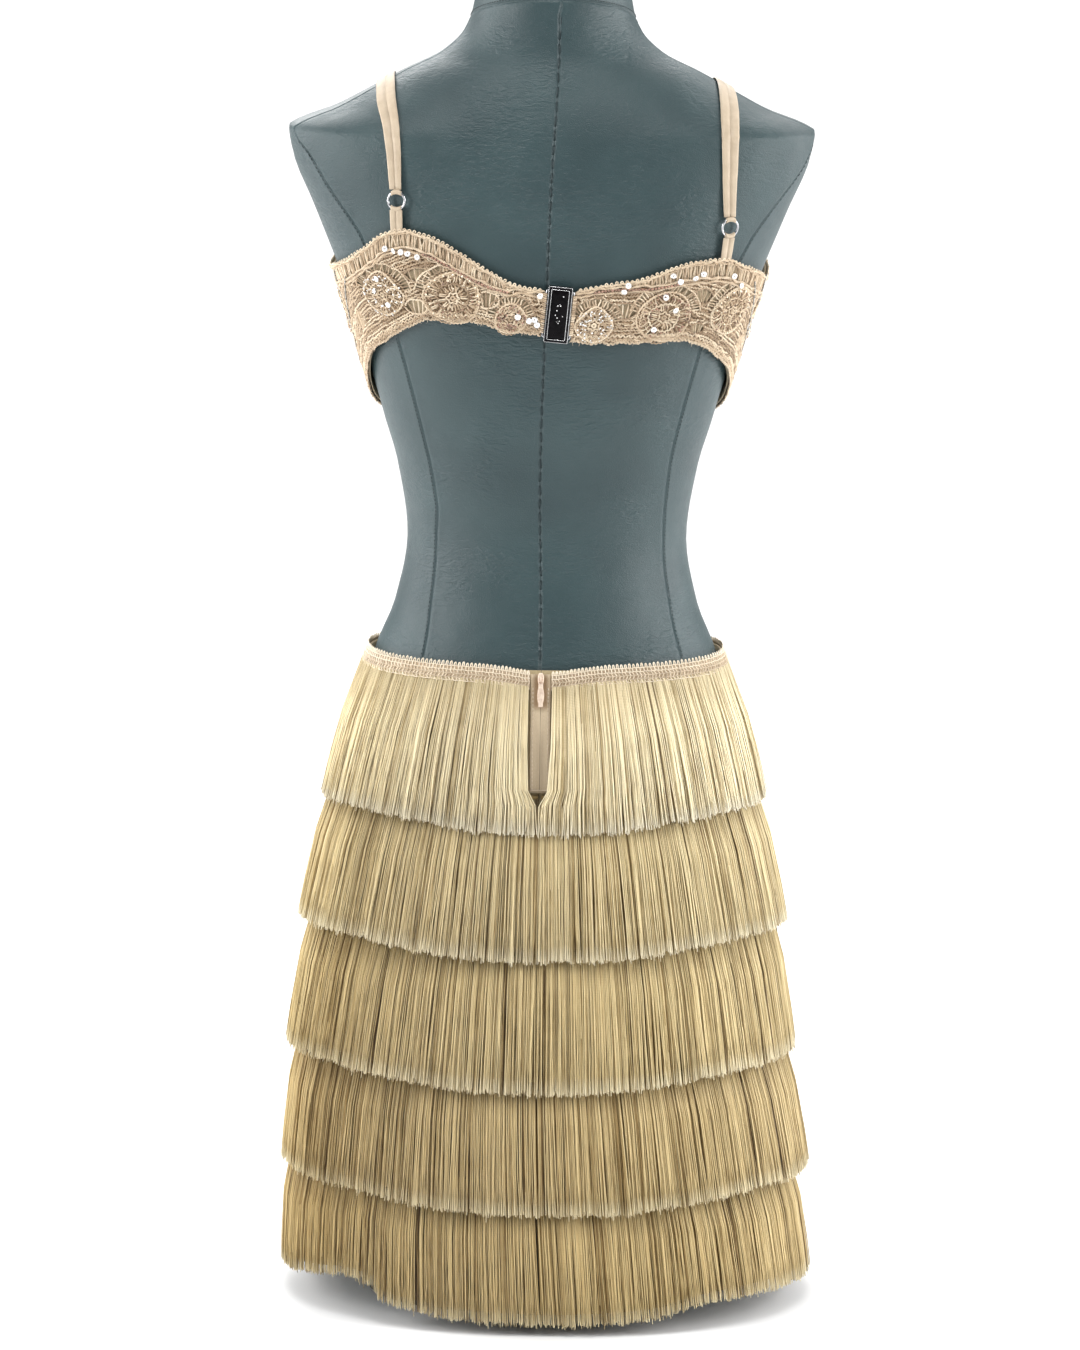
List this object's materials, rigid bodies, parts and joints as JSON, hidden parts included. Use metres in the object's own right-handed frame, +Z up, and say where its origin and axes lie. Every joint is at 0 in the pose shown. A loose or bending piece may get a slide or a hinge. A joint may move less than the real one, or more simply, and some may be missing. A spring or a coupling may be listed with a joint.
{
  "type": "crochet mini dress on dress form",
  "caption": "Backless crochet mini dress with a clasped lace band, thin straps and a tiered fringe skirt, worn by a limbless dress form with a flat base.",
  "frame": {"origin": "centre of the dress form's flat base", "axes": "+Z up, the back of the dress faces +Y, +X to the wearer's left"},
  "size_m": [0.41, 0.33, 1.062],
  "materials": {
    "form_leather": "satin",
    "lace_thread": "matte",
    "lining_mesh": "matte",
    "strap_satin": "satin",
    "skirt_cloth": "matte",
    "fringe_thread": "satin",
    "polished_metal": "polished",
    "dark_enamel": "gloss",
    "zip_metal": "satin",
    "zip_tape": "matte"
  },
  "bodies": {
    "dress": {"dress_form": "form_leather", "form_neck_cap": "form_leather", "crochet_back_left": "lace_thread", "crochet_back_right": "lace_thread", "crochet_front_left": "lace_thread", "crochet_front_right": "lace_thread", "crochet_midriff": "lace_thread", "lining_back_left": "lining_mesh", "lining_back_right": "lining_mesh", "lining_front_left": "lining_mesh", "lining_front_right": "lining_mesh", "lining_midriff": "lining_mesh", "strap_left": "strap_satin", "strap_right": "strap_satin", "strap_ring_left": "polished_metal", "strap_ring_right": "polished_metal", "strap_tab_left": "strap_satin", "strap_tab_right": "strap_satin", "clasp_frame": "polished_metal", "clasp_panel": "dark_enamel", "clasp_loop_left": "polished_metal", "clasp_loop_right": "polished_metal", "skirt_front": "skirt_cloth", "skirt_back_left": "skirt_cloth", "skirt_back_right": "skirt_cloth", "waistband": "skirt_cloth", "zip_tape": "zip_tape", "zip_slider": "zip_metal", "fringe_tier_1": "fringe_thread", "fringe_tier_2": "fringe_thread", "fringe_tier_3": "fringe_thread", "fringe_tier_4": "fringe_thread", "fringe_tier_5": "fringe_thread"},
    "pull_tab": {"zip_pull": "zip_metal"}
  },
  "joints": [
    {"name": "pull_tab_hinge", "type": "hinge", "parent": "dress", "child": "pull_tab", "pos_m": [0.0033, 0.10567, 0.49721], "axis": [1, 0, 0], "range_deg": [0, 150]}
  ]
}
